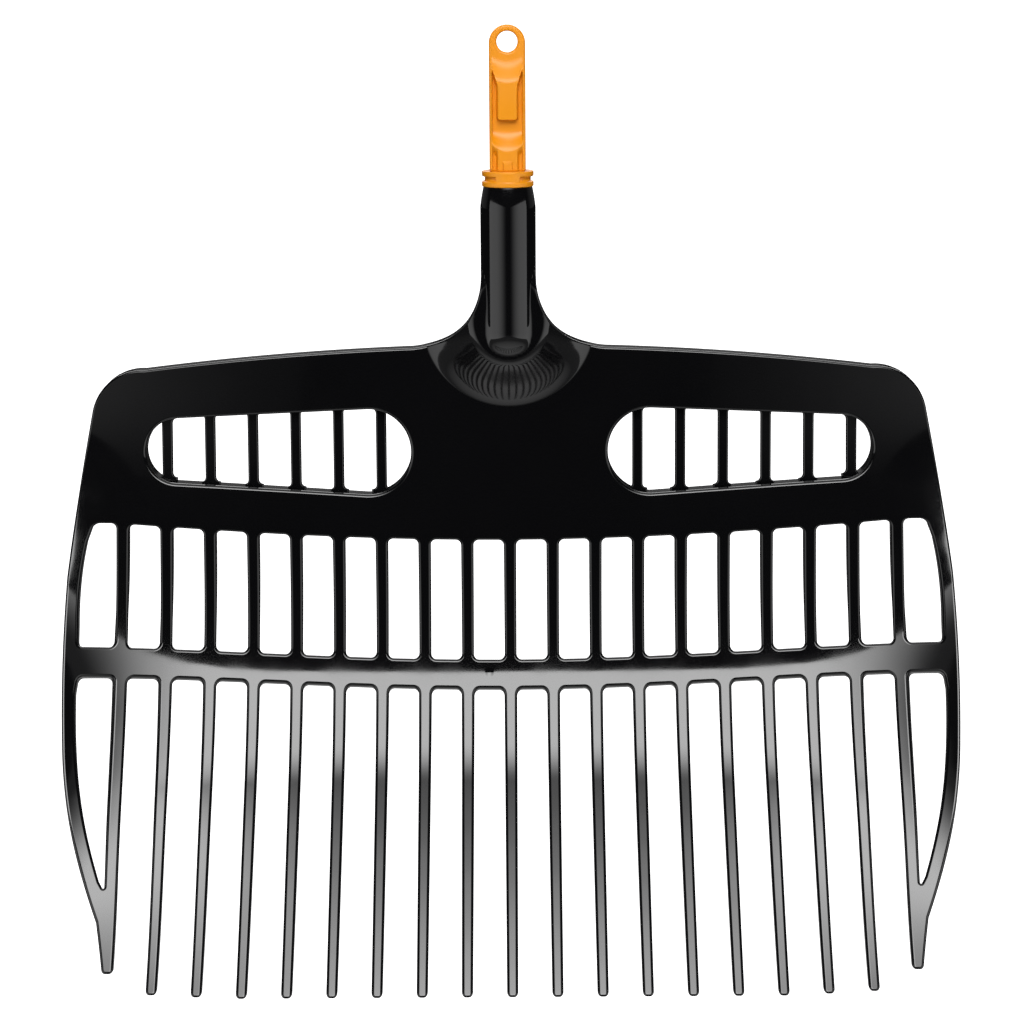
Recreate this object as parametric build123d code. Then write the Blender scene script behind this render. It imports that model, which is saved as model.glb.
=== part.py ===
from build123d import *
import math
import os

# Leaf scoop head, millimetres.
# The +Z axis runs up the handle socket, X runs across the tines and -Y is the scooping side.
# The origin lies on the socket axis, on the shoulder that the handle's end butts against.

# ---------------------------------------------------------------- driving sizes
TINE_PITCH = 27.25
OUTER_TINE = 9                     # the tines are numbered from -9 to 9
TIP_Z = -484.2
OUTER_TIP_RISE = {7: 0.8, 8: 1.9, 9: 12.3}    # how much higher the outermost tips end

# side view of the scoop: a leaning blade, one large bend, then straight sloping tines
BLADE_LEAN = 5.0
TINE_LEAN = 40.5
BEND_RADIUS = 215.0
BEND_START = (1.3, -256.0)         # y and z of the point where the blade begins to bend
DISH_DEPTH = 23.0                  # how far the ninth tine stands forward of the middle one
DISH_Z = -350.0
DISH_FADE_UP = 220.0
DISH_FADE_DOWN = 130.0

# outline of the blade, seen along Y
TOP_EDGE_Z = -111.2
TOP_EDGE_RADIUS = 1900.0
FLARE_RADIUS = 47.0
HALF_WIDTH = 280.4
WIDEST_Z = -290.0
CORNER_START_X = 230.0                # where the top edge begins to turn down
CORNER_MIDDLE = (254.0, -133.6)
SHOULDER_START = (263.6, -150.0)
SHOULDER_MIDDLE = (272.4, -201.0)
BELLY_START = (278.9, -251.0)
BELLY_END = (278.6, -345.6)
RAIL_MIDDLE = (271.0, -395.5)
RAIL_END = (253.9, -445.5)
RAIL_END_FLARE = 0.6                  # the ninth tine's extra width beside the rail's end
INNER_RAIL_TOP = (262.0, -215.0)
INNER_RAIL_UPPER = (269.3, -243.0)
INNER_RAIL_SIDE = (271.5, -280.0)
INNER_RAIL_LOWER = (268.2, -363.4)
INNER_RAIL_END = (251.4, -428.0)
LOWER_EDGE_Z = -234.4
CROSS_BAR_TOP_Z = -309.0
CROSS_BAR_HEIGHT = 17.5
BOW_RADIUS = 2220.0                # the blade's lower edge and the cross bar share this bow
RAIL_WIDTH = 9.0

# hand slots: a large inner end and a small outer end
SLOT_INNER = (89.5, -177.8, 27.0)  # x, z, radius
SLOT_OUTER = (210.0, -176.0, 20.3)
SLOT_FIRST_RIB = 3
SLOT_LAST_RIB = 8

# thicknesses, measured along Y from the front surface
SKIN = 3.0
RIB_BACK = 16.0
SLOT_RIB_FRONT = 9.0
RIM_WALL = 3.0
BAR_DEPTH = 9.0
RAIL_DEPTH = 12.0
TINE_DEPTH = 8.0

BAR_WIDTH = 7.4
RIB_WIDTH = 6.6
TINE_ROOT_WIDTH = 8.2
TINE_TIP_WIDTH = 6.8
TINE_TIP_ROUND = 1.5

# socket and handle adapter
SOCKET_RADIUS = 17.15
SOCKET_TOP_Z = -9.6
SOCKET_END_Z = -118.0
SHOULDER_DROP = 12.0
SHOULDER_INSET = 1.7
BORE_RADIUS = 12.5
SHANK_LENGTH = 62.0
SHANK_PLAY = 0.05
BORE_RUNOUT = 1.0
NOSE_HALF_WIDTH = 45.5
NOSE_BOTTOM_Z = -149.0
NOSE_DEPTH = 36.0
NOSE_SINK = 6.0
NOSE_REACH = 20.0
COLLAR_RADIUS = 15.95
COLLAR_GROOVE_RADIUS = 14.6
FLANGE = 3.6
TONGUE_WIDTH = 22.3
TONGUE_BASE_DEPTH = 21.2
CHANNEL_FLOOR_DEPTH = 9.6             # thickness left between the channels of the two faces
CHANNEL_HALF_WIDTH = 9.2
BLOCK_HALF_WIDTH = 6.4
CHANNEL_TOP_Z = 50.0
BLOCK_END_Z = 31.0
POCKET_END_Z = 20.0
RING_THICKNESS = 9.0
TONGUE_SHOULDER_Z = 50.0
TONGUE_NECK_Z = 68.0
RING_RADIUS = 11.3
RING_Z = 77.2
HANG_HOLE_RADIUS = 6.4
HANG_HOLE_Z = 78.1

# retaining screw, driven into the shank from the back of the socket
SCREW_Z = -34.0
SCREW_SHAFT_RADIUS = 1.9
SCREW_HEAD_RADIUS = 3.8
SCREW_HEAD_HEIGHT = 2.4
SCREW_LENGTH = 14.0
SCREW_SINK = 0.8

FAR = 400.0                        # reach of the cutting prisms, past every surface
SHEET_COLUMNS = 17
SHEET_ROWS = 41
SHEET_TOP_Z = -50.0
SHEET_MARGIN = 12.0
SHEET_TOLERANCE = 0.02
BAND_MARGIN = 20.0
OVERRUN = 40.0                     # how far a strip runs on past the edge that trims it


# ---------------------------------------------------------------- the curved surface
def middle_line(z):
    """Depth y of the front surface at x = 0."""
    start_y, start_z = BEND_START
    lean = math.radians(BLADE_LEAN)
    slope = math.radians(TINE_LEAN)
    if z > start_z:
        return start_y + (z - start_z) * math.tan(lean)
    end_z = start_z - BEND_RADIUS * (math.sin(slope) - math.sin(lean))
    if z > end_z:
        angle = math.asin(math.sin(lean) + (start_z - z) / BEND_RADIUS)
        return start_y - BEND_RADIUS * (math.cos(lean) - math.cos(angle))
    end_y = start_y - BEND_RADIUS * (math.cos(lean) - math.cos(slope))
    return end_y + (z - end_z) * math.tan(slope)


def dish(z):
    """How far the ninth tine's line stands forward of the middle line at height z."""
    fade = DISH_FADE_UP if z > DISH_Z else DISH_FADE_DOWN
    part = min(abs(z - DISH_Z) / fade, 1.0)
    return DISH_DEPTH * math.cos(part * math.pi / 2) ** 2


def front_y(x, z):
    """Depth y of the front surface."""
    across = x / (OUTER_TINE * TINE_PITCH)
    return middle_line(z) - dish(z) * across ** 4


def slab(front, back):
    """The curved sheet between two depths behind the front surface."""
    bottom_z = TIP_Z - SHEET_MARGIN
    reach = HALF_WIDTH + SHEET_MARGIN
    grid = []
    for i in range(SHEET_COLUMNS):
        x = reach * (2 * i / (SHEET_COLUMNS - 1) - 1)
        line = []
        for j in range(SHEET_ROWS):
            z = bottom_z + (SHEET_TOP_Z - bottom_z) * j / (SHEET_ROWS - 1)
            line.append(Vector(x, front_y(x, z) + front, z))
        grid.append(line)
    sheet = Face.make_surface_from_array_of_points(grid, tol=SHEET_TOLERANCE)
    return extrude(sheet, amount=back - front, dir=(0, 1, 0))


SLABS = {}


def member(outline, front, back):
    """The part of the curved sheet that lies under an outline drawn in X and Z."""
    if (front, back) not in SLABS:
        SLABS[(front, back)] = slab(front, back)
    prism = extrude(Plane.XZ * outline, amount=FAR, both=True)
    return prism & SLABS[(front, back)]


# ---------------------------------------------------------------- outlines in X and Z
def bowed(z, x):
    """Height of a bowed horizontal edge whose middle is at z."""
    return z + x * x / (2 * BOW_RADIUS)


def polygon(points):
    return make_face(Polyline(*points, close=True))


def mirrored(outline):
    return mirror(outline, about=Plane.YZ)


def band(low_z, high_z, reach=HALF_WIDTH + BAND_MARGIN):
    """Area between two bowed edges."""
    lower = ThreePointArc((-reach, bowed(low_z, reach)), (0, low_z), (reach, bowed(low_z, reach)))
    upper = ThreePointArc((reach, bowed(high_z, reach)), (0, high_z), (-reach, bowed(high_z, reach)))
    sides = [Line(lower @ 1, upper @ 0), Line(upper @ 1, lower @ 0)]
    return make_face([lower, upper] + sides)


def area_above(z):
    return band(z, 0.0)


def level_area(low_z, high_z):
    return Pos(0, (low_z + high_z) / 2) * Rectangle(4 * FAR, high_z - low_z)


def side_edge():
    """The right outer edge from the blade's corner to the tip of the ninth tine."""
    tip_x = OUTER_TINE * TINE_PITCH + TINE_TIP_WIDTH / 2
    shoulder = ThreePointArc(SHOULDER_START, SHOULDER_MIDDLE, BELLY_START)
    belly = ThreePointArc(shoulder @ 1, (HALF_WIDTH, WIDEST_Z), BELLY_END)
    rail = ThreePointArc(belly @ 1, RAIL_MIDDLE, RAIL_END)
    tip = Line(rail @ 1, (tip_x + RAIL_END_FLARE, TIP_Z + OUTER_TIP_RISE[OUTER_TINE]))
    return [shoulder, belly, rail, tip]


def top_edge():
    """The right half of the top edge: up the flare beside the socket, then out to the corner."""
    flare_x = SOCKET_RADIUS + FLARE_RADIUS
    top_z = TOP_EDGE_Z - flare_x ** 2 / (2 * TOP_EDGE_RADIUS)
    flare = RadiusArc((SOCKET_RADIUS, top_z + FLARE_RADIUS), (flare_x, top_z), -FLARE_RADIUS)
    corner_z = TOP_EDGE_Z - CORNER_START_X ** 2 / (2 * TOP_EDGE_RADIUS)
    middle_x = (flare_x + CORNER_START_X) / 2
    middle_z = TOP_EDGE_Z - middle_x ** 2 / (2 * TOP_EDGE_RADIUS)
    top = ThreePointArc(flare @ 1, (middle_x, middle_z), (CORNER_START_X, corner_z))
    corner = ThreePointArc(top @ 1, CORNER_MIDDLE, SHOULDER_START)
    return [flare, top, corner]


def half_shape():
    """Everything inside the right half of the outer edge, from the socket to the tip line."""
    edges = top_edge() + side_edge()
    start = edges[0] @ 0
    end = edges[-1] @ 1
    closing = Polyline(end, (0, end.Y), (0, start.Y), start)
    return make_face(edges + [closing])


def rail_inner_edge():
    """Area on the middle side of the right rail's inner edge."""
    upper = ThreePointArc(INNER_RAIL_TOP, INNER_RAIL_UPPER, INNER_RAIL_SIDE)
    lower = ThreePointArc(upper @ 1, INNER_RAIL_LOWER, INNER_RAIL_END)
    closing = Polyline(lower @ 1, (0, INNER_RAIL_END[1]), (0, INNER_RAIL_TOP[1]), upper @ 0)
    return make_face([upper, lower, closing])


def tine_outline(number, top_z):
    """A tapered tine with a rounded blunt end."""
    x = number * TINE_PITCH
    tip_z = TIP_Z + OUTER_TIP_RISE.get(abs(number), 0.0)
    half_root = TINE_ROOT_WIDTH / 2
    half_tip = TINE_TIP_WIDTH / 2
    body = polygon([
        (x - half_root, top_z),
        (x + half_root, top_z),
        (x + half_tip, tip_z),
        (x - half_tip, tip_z),
    ])
    ends = body.vertices().sort_by(Axis.Y)[:2]
    return fillet(ends, TINE_TIP_ROUND)


def slot_tangent(side, grow=0.0):
    """The two ends of the slot's straight upper (side 1) or lower (side -1) edge."""
    x1, z1, r1 = SLOT_INNER
    x2, z2, r2 = SLOT_OUTER
    span = math.dist((x1, z1), (x2, z2))
    turn = math.asin((r1 - r2) / span)
    heading = math.atan2(z2 - z1, x2 - x1)
    angle = heading + side * (math.pi / 2 - turn)
    near = (x1 + (r1 + grow) * math.cos(angle), z1 + (r1 + grow) * math.sin(angle))
    away = (x2 + (r2 + grow) * math.cos(angle), z2 + (r2 + grow) * math.sin(angle))
    return near, away


def slot_outline(grow=0.0):
    """The right hand slot, or the area around it that its rim takes."""
    x1, z1, r1 = SLOT_INNER
    x2, z2, r2 = SLOT_OUTER
    upper = slot_tangent(1, grow)
    lower = slot_tangent(-1, grow)
    bridge = polygon([upper[0], upper[1], lower[1], lower[0]])
    return Pos(x1, z1) * Circle(r1 + grow) + bridge + Pos(x2, z2) * Circle(r2 + grow)


def beyond_slot(side):
    """Right half of the area above (side 1) or below (side -1) the slots."""
    near, away = slot_tangent(side)
    slope = (away[1] - near[1]) / (away[0] - near[0])
    far_z = away[1] + slope * (FAR - away[0])
    return polygon([(0, side * FAR + near[1]), (0, near[1]), near, (FAR, far_z), (FAR, side * FAR + near[1])])


def both(outline):
    return outline + mirrored(outline)


# ---------------------------------------------------------------- areas of the moulding
HALF = half_shape()
WHOLE = both(HALF)
BLADE = WHOLE & area_above(LOWER_EDGE_Z)
SLOTS = both(slot_outline())
RIMMED_SLOTS = both(slot_outline(RIM_WALL))
RIM_AREA = BLADE - offset(WHOLE, amount=-RIM_WALL)
CROSS_BAND = band(CROSS_BAR_TOP_Z - CROSS_BAR_HEIGHT, CROSS_BAR_TOP_Z)
WINDOW_BAND = band(CROSS_BAR_TOP_Z, LOWER_EDGE_Z)
INSIDE_RAILS = both(rail_inner_edge())


def strip(number, width, high_z, low_z):
    """A straight upright strip on one rib's line."""
    return Pos(number * TINE_PITCH, (high_z + low_z) / 2) * Rectangle(width, high_z - low_z)


# ---------------------------------------------------------------- socket and nose
def socket_outer():
    """The socket tube with its tapered top shoulder."""
    length = SOCKET_TOP_Z - SOCKET_END_Z
    tube = Pos(0, 0, SOCKET_END_Z + length / 2) * Cylinder(SOCKET_RADIUS, length)
    top_face = tube.faces().sort_by(Axis.Z)[-1]
    return chamfer(top_face.edges(), length=SHOULDER_INSET, length2=SHOULDER_DROP, reference=top_face)


def socket_tube():
    bore_end = -SHANK_LENGTH - BORE_RUNOUT
    bore = Pos(0, 0, (SOCKET_TOP_Z + bore_end) / 2) * Cylinder(BORE_RADIUS, SOCKET_TOP_Z - bore_end)
    return socket_outer() - bore


def socket_nose():
    """The rounded dome that carries the socket's front down into the blade."""
    depth = NOSE_DEPTH
    height = SOCKET_END_Z - NOSE_BOTTOM_Z + NOSE_SINK
    ball = scale(Sphere(1.0), by=(NOSE_HALF_WIDTH, depth, height))
    ball = Pos(0, depth - SOCKET_RADIUS, SOCKET_END_Z) * ball
    below = Pos(0, 0, SOCKET_END_Z - FAR / 2) * Box(FAR, FAR, FAR)
    around = level_area(NOSE_BOTTOM_Z - NOSE_REACH, SOCKET_END_Z + NOSE_REACH)
    behind_front = member(BLADE & around, 0.0, FAR / 4)
    return (ball & below) - behind_front


# ---------------------------------------------------------------- handle adapter
def shank():
    length = SHANK_LENGTH + SOCKET_TOP_Z
    return Pos(0, 0, SOCKET_TOP_Z - length / 2) * Cylinder(BORE_RADIUS - SHANK_PLAY, length)


def collar():
    """Two round flanges with a groove between them."""
    core = Pos(0, 0, SOCKET_TOP_Z / 2) * Cylinder(COLLAR_GROOVE_RADIUS, -SOCKET_TOP_Z)
    for z in (-FLANGE / 2, SOCKET_TOP_Z + FLANGE / 2):
        core += Pos(0, 0, z) * Cylinder(COLLAR_RADIUS, FLANGE)
    return core


def tongue():
    """The tongue that enters the handle: deep at the collar, thin at the hang ring."""
    half_base = TONGUE_BASE_DEPTH / 2
    half_ring = RING_THICKNESS / 2
    top = RING_Z + RING_RADIUS
    profile = polygon([
        (-half_base, 0.0),
        (half_base, 0.0),
        (half_base, TONGUE_SHOULDER_Z),
        (half_ring, TONGUE_NECK_Z),
        (half_ring, top),
        (-half_ring, top),
        (-half_ring, TONGUE_NECK_Z),
        (-half_base, TONGUE_SHOULDER_Z),
    ])
    body = extrude(Plane.YZ * profile, amount=TONGUE_WIDTH / 2, both=True)
    shape = Pos(0, RING_Z / 2) * Rectangle(TONGUE_WIDTH, RING_Z) + Pos(0, RING_Z) * Circle(RING_RADIUS)
    shape -= Pos(0, HANG_HOLE_Z) * Circle(HANG_HOLE_RADIUS)
    body = body & extrude(Plane.XZ * shape, amount=FAR, both=True)
    hollow = Pos(0, (CHANNEL_TOP_Z + POCKET_END_Z) / 2)
    hollow = hollow * Rectangle(2 * CHANNEL_HALF_WIDTH, CHANNEL_TOP_Z - POCKET_END_Z)
    block = Pos(0, (CHANNEL_TOP_Z + BLOCK_END_Z) / 2)
    hollow -= block * Rectangle(2 * BLOCK_HALF_WIDTH, CHANNEL_TOP_Z - BLOCK_END_Z)
    carved = extrude(Plane.XZ * hollow, amount=FAR, both=True)
    core = Box(TONGUE_WIDTH, CHANNEL_FLOOR_DEPTH, 2 * FAR)
    return body - (carved - core)


def retaining_screw():
    """A pan head self-tapping screw, its head behind the socket and its point towards -Y."""
    seat_y = SOCKET_RADIUS - SCREW_SINK
    head = Rot(90, 0, 0) * Cylinder(SCREW_HEAD_RADIUS, SCREW_HEAD_HEIGHT)
    shaft = Rot(90, 0, 0) * Cylinder(SCREW_SHAFT_RADIUS, SCREW_LENGTH)
    head = Pos(0, seat_y + SCREW_HEAD_HEIGHT / 2, SCREW_Z) * head
    return head + Pos(0, seat_y - SCREW_LENGTH / 2, SCREW_Z) * shaft


# ---------------------------------------------------------------- nodes of the moulding
def rib_with_bar(number):
    """One back rib, from the top rim down behind the blade, and its bar across the window band."""
    line = strip(number, RIB_WIDTH, 0.0, LOWER_EDGE_Z - OVERRUN) & BLADE
    line -= RIM_AREA
    line -= strip(0, 2 * SOCKET_RADIUS, 0.0, SOCKET_END_Z)
    shape = member(line - RIMMED_SLOTS, SKIN, RIB_BACK)
    if SLOT_FIRST_RIB <= abs(number) <= SLOT_LAST_RIB:
        shape += member(line & RIMMED_SLOTS, SLOT_RIB_FRONT, RIB_BACK)
    bar = strip(number, BAR_WIDTH, 0.0, CROSS_BAR_TOP_Z - OVERRUN) & WINDOW_BAND
    return shape + member(bar, 0.0, BAR_DEPTH)


def tine(number):
    area = tine_outline(number, CROSS_BAR_TOP_Z) - area_above(CROSS_BAR_TOP_Z - CROSS_BAR_HEIGHT)
    return member(area, 0.0, TINE_DEPTH)


def right_rail_area():
    """Outline of the rail from the blade's lower corner round to the ninth tine."""
    area = HALF - INSIDE_RAILS - area_above(LOWER_EDGE_Z)
    area -= tine_outline(OUTER_TINE, CROSS_BAR_TOP_Z)
    inner_side = OUTER_TINE * TINE_PITCH - FAR / 2
    return area - Pos(inner_side, -FAR) * Rectangle(FAR, FAR)


def signed(number):
    """Node name ending for a numbered line: left is -X, right is +X."""
    if number == 0:
        return "middle"
    side = "left" if number < 0 else "right"
    return f"{side}_{abs(number)}"


def right_half(shape):
    return shape & Pos(FAR, 0) * Rectangle(2 * FAR, 4 * FAR)


def blade_nodes():
    """The blade's skin, parted above, below and beside the hand slots."""
    skin = BLADE - SLOTS
    above = both(beyond_slot(1))
    below = both(beyond_slot(-1))
    between = skin - above - below
    middle = level_area(-FAR, 0) & strip(0, 2 * SLOT_INNER[0] + 2 * SLOT_INNER[2], 0, -FAR)
    end = right_half(between) - middle
    return {
        "blade_upper_band": member(skin & above, 0.0, SKIN) - socket_outer(),
        "blade_lower_band": member(skin & below, 0.0, SKIN),
        "blade_middle": member(between & middle, 0.0, SKIN),
        "blade_end_right": member(end, 0.0, SKIN),
        "blade_end_left": member(mirrored(end), 0.0, SKIN),
    }


def rim_nodes():
    """Walls that stand back from the skin round the blade's edge and round each slot."""
    nodes = {}
    right_rim = right_half(RIM_AREA)
    right_slot = slot_outline(RIM_WALL) - slot_outline()
    for side, edge, slot in (
        ("right", right_rim, right_slot),
        ("left", mirrored(right_rim), mirrored(right_slot)),
    ):
        nodes[f"blade_rim_{side}"] = member(edge, SKIN, RIB_BACK) - socket_outer()
        nodes[f"slot_rim_{side}"] = member(slot, SKIN, SLOT_RIB_FRONT)
    return nodes


def moulding_nodes():
    nodes = {"socket_tube": socket_tube(), "socket_nose": socket_nose()}
    nodes.update(blade_nodes())
    nodes.update(rim_nodes())
    nodes["cross_bar"] = member(CROSS_BAND & INSIDE_RAILS, 0.0, BAR_DEPTH)
    rail = right_rail_area()
    nodes["side_rail_right"] = member(rail, 0.0, RAIL_DEPTH)
    nodes["side_rail_left"] = member(mirrored(rail), 0.0, RAIL_DEPTH)
    for number in range(-OUTER_TINE, OUTER_TINE + 1):
        nodes[f"rib_{signed(number)}"] = rib_with_bar(number)
        nodes[f"tine_{signed(number)}"] = tine(number)
    return nodes


os.makedirs("parts", exist_ok=True)
screw = retaining_screw()
all_nodes = moulding_nodes()
all_nodes["socket_tube"] -= screw
all_nodes["handle_adapter"] = shank() + collar() + tongue() - screw
all_nodes["retaining_screw"] = screw
for name, shape in all_nodes.items():
    export_step(shape, f"parts/{name}.step")
    print(name, round(shape.volume), "mm3,", len(shape.solids()), "solid")
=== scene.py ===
import math

import bpy
import numpy as np
from mathutils import Matrix, Vector
from mathutils.geometry import delaunay_2d_cdt
from mathutils.kdtree import KDTree


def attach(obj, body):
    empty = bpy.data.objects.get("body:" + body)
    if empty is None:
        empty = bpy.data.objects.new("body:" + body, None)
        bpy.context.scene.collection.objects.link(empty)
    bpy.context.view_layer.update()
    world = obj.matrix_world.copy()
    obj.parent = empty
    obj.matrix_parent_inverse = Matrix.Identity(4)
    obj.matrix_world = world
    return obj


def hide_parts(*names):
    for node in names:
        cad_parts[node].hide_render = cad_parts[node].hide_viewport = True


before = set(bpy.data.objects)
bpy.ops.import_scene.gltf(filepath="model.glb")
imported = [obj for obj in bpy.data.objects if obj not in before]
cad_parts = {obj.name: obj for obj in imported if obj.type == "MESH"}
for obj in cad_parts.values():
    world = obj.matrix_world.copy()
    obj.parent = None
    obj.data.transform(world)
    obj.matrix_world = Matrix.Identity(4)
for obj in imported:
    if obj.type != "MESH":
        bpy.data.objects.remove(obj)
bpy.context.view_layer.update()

# ------------------------------------ driving sizes, in millimetres
MM = 0.001
TINE_PITCH = 27.25
OUTER_TINE = 9
TIP_Z = -484.2
OUTER_TIP_RISE = {7: 0.8, 8: 1.9, 9: 12.3}

# side view: a leaning blade, one large bend, then sloping tines that dish towards the sides
BLADE_LEAN = math.radians(5.0)
TINE_LEAN = math.radians(40.5)
BEND_RADIUS = 215.0
BEND_START_Y = 1.3
BEND_START_Z = -256.0
DISH_DEPTH = 23.0
DISH_Z = -350.0
DISH_FADE_UP = 220.0
DISH_FADE_DOWN = 130.0
WEB_Z = -112.0
WEB_CURL = 0.0052

# outline, as (x, z) points of the right side
TOP_EDGE_Z = -111.2
TOP_EDGE_RADIUS = 1900.0
FLARE_RADIUS = 47.0
FLARE_START = (16.3, -59.0, 4.0)
HALF_WIDTH = 280.4
CORNER_START_X = 230.0
CORNER_MIDDLE = (254.0, -133.6)
SHOULDER_START = (263.6, -150.0)
SHOULDER_MIDDLE = (272.4, -201.0)
BELLY_START = (278.9, -251.0)
BELLY_MIDDLE = (HALF_WIDTH, -290.0)
BELLY_END = (278.6, -345.6)
RAIL_MIDDLE = (271.0, -395.5)
RAIL_END = (253.9, -445.5)
INNER_RAIL_UPPER = ((264.6, -221.0), (269.3, -243.0), (271.5, -280.0))
INNER_RAIL_LOWER = ((271.3, -290.0), (268.2, -363.4), (251.8, -427.0))
OUTER_WINDOW_CORNER = (263.0, -219.8, 5.5)
OUTER_WINDOW_X = 271.4
OUTER_WINDOW_SIDE_Z = -229.0
OUTER_GAP_X = 270.8
OUTER_GAP_SIDE_Z = (-318.0, -424.0)
OUTER_GAP_END_Z = -429.0
OUTER_GAP_END_SHIFT = 0.9
OUTER_GAP_END_ROUND = 0.6
OUTER_GAP_ROUND = 3.2
LOWER_EDGE_Z = -234.4
CROSS_BAR_TOP_Z = -309.0
CROSS_BAR_HEIGHT = 17.5
BOW_RADIUS = 2220.0
BAR_HALF_WIDTHS = (3.8, 4.0)
TINE_ROOT_Z = -333.0
TINE_HALF_WIDTHS = (3.4, 4.12)
WINDOW_ROUND = 3.4
TIP_ROUND = 2.5

# hand slots: x, z and radius of each end
SLOT_INNER = (89.5, -177.8, 27.0)
SLOT_OUTER = (210.0, -176.0, 20.3)
SLOT_RIBS = range(3, 9)

# socket, the ridge that ends it, and the dome round its foot
TUBE_RADIUS = 17.15
TUBE_SIDE = math.radians(78.0)
TUBE_TOP_Z = -9.7
TUBE_END_Z = -95.0
LIP_RADIUS = 14.65
LIP_ROUND = 0.6
SHOULDER_TOP_Z = -10.3
SHOULDER_HEIGHT = 12.6
SHOULDER_INSET = 1.9
SHOULDER_POWER = 1.33
SHOULDER_END_Z = -23.0
RIDGE_END_Z = -99.0
RIDGE_ROUND = 18.0
RIDGE_SLOPE = math.radians(60.0)
COVE_Z = -94.7
COVE_RADIUS = 54.3
COVE_RIM_SLOPE = 0.33
COVE_STEEPENING = 0.58
COVE_KNEE = 6.0
PLATEAU_Y = -11.0
PLATEAU_BLEND = 2.0
HUB_BLEND = 1.6
HUB_BLEND_Z = -68.0
HUB_BLEND_LENGTH = 26.0
TUCK_Z = -97.0
TUCK_LENGTH = 6.0
TUCK_DEPTH = 0.5
GATE_X = -13.6
GATE_Z = -317.0
GATE_RADIUS = 3.4
GATE_DEPTH = 0.35

# depths behind the front surface
SKIN = 3.0
SKIN_START = 5.0
SKIN_FADE = 4.0
SKIN_SIDE_X = 235.5
SKIN_SIDE_TAPER = 0.15
SKIN_SIDE_FADE = 3.0
SKIN_SIDE_Z = -205.0
RIM_WALL = 2.8
RIM_DEPTH = 13.0
RIM_END_Z = -226.0
RIM_FADE = 14.0
SOCKET_RIM_X = 22.0
SOCKET_RIM_FADE = 22.0
SOCKET_RIM_Z = -128.0
RIM_FOOT = 1.3
FLAT_FOOT = 0.6
HUB_DEPTH = 7.0
HUB_DEPTH_Z = -70.0
BAR_DEPTH = 8.0
BAR_DEPTH_Z = -300.0
TINE_DEPTH = 6.1
TINE_DEPTH_Z = -345.0
TIP_DEPTH = 5.4
LEANING_X = 256.0
STRAIGHT_X = 275.0
LEANING_Z = -440.0
EDGE_STEPS = 7
BACK_ROUND = 1.0
SLOT_EDGE_ROUND = 2.0
EDGE_ROUNDS = (1.9, 1.9, 1.7, 1.3)

# ribs behind the blade; they widen where they cross a hand slot
SLOT_RIB_FRONT = 9.0
SLOT_RIB_WIDTH = 6.6
SLOT_RIB_FILLET = 3.0
SLOT_RIB_LAP = 1.45
SLOT_RIB_STEPS = (-1.5, -1.4, 0.0, 0.4, 0.8, 1.4, 2.2, 3.2, 4.5)
BACK_RIB_WIDTH = 4.0
RIB_DEPTH = 15.0
RIB_TAPER = 16.0
RIB_OVERLAP = 8.0
RIB_TOP_GAP = 1.5
RIB_ROUND = 1.1
HUB_RIBS = 1
HUB_RIB_TOP_Z = -120.0

# orange adapter: heights are half thicknesses, measured from its middle plane
ADAPTER_HALF_WIDTH = 11.15
ADAPTER_END_Z = -0.5
ADAPTER_CORNER = 2.2
EDGE_ROUND = 1.6
RING_Z = 77.2
RING_HEIGHT = 4.5
HOLE_Z = 78.1
HOLE_RADIUS = 6.4
HOLE_ROUND = 1.5
SLOPE_BEND = 4.0
SLOPE_POWER = 1.5
SLOPE_TOP_Z = 68.5
SLOPE_END_Z = 53.0
CHANNEL_TOP_Z = 50.5
CHANNEL_RISE = 11.0
CHANNEL_INNER = 5.2
CHANNEL_OUTER = 10.2
CHANNEL_FADE = 2.2
CHANNEL_HEIGHT = 4.8
WALL_INNER = 9.0
WALL_OUTER = 9.9
WALL_DROP = 1.5
WALL_DROP_Z = (60.0, 50.0)
WALL_DROP_X = (8.5, 9.5)
BLOCK_HEIGHT = 10.6
BLOCK_HALF_WIDTH = 6.4
BLOCK_FADE = 0.9
BLOCK_ROUND = 2.0
BLOCK_END_Z = 31.0
RAMP_TOP_Z = 25.0
RAMP_END_Z = 11.5
RAMP_BEND = 4.5
RAMP_HALF_WIDTH = 9.5
RAMP_POWER = 1.3
PANEL_HEIGHT = 10.2
RECESS_DEPTH = 3.2
RECESS_INNER = (5.6, 7.2)
RECESS_OUTER = (10.0, 8.8)
RECESS_Z = (16.5, 10.5)
RECESS_SLANT = 0.8
KEY_HALF_WIDTH = 2.6
KEY_TOP_Z = 5.4
KEY_HEIGHT = 1.2
COLLAR_BRIDGE = 15.75
COLLAR_BRIDGE_Z = (-6.4, -3.0)
COLLAR_UPPER = [
    (1.0, 0.0), (15.2, 0.0), (15.7, -0.15), (15.95, -0.6),
    (15.95, -2.6), (15.7, -3.2), (15.0, -3.5), (14.4, -3.7), (14.2, -4.0),
]
COLLAR_LOWER = [
    (14.2, -5.6), (14.4, -5.9), (15.0, -6.1), (15.7, -6.4), (15.95, -7.0),
    (15.95, -9.0), (15.7, -9.45), (15.2, -9.6), (14.0, -9.7), (14.0, -20.0), (1.0, -20.0),
]


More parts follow.
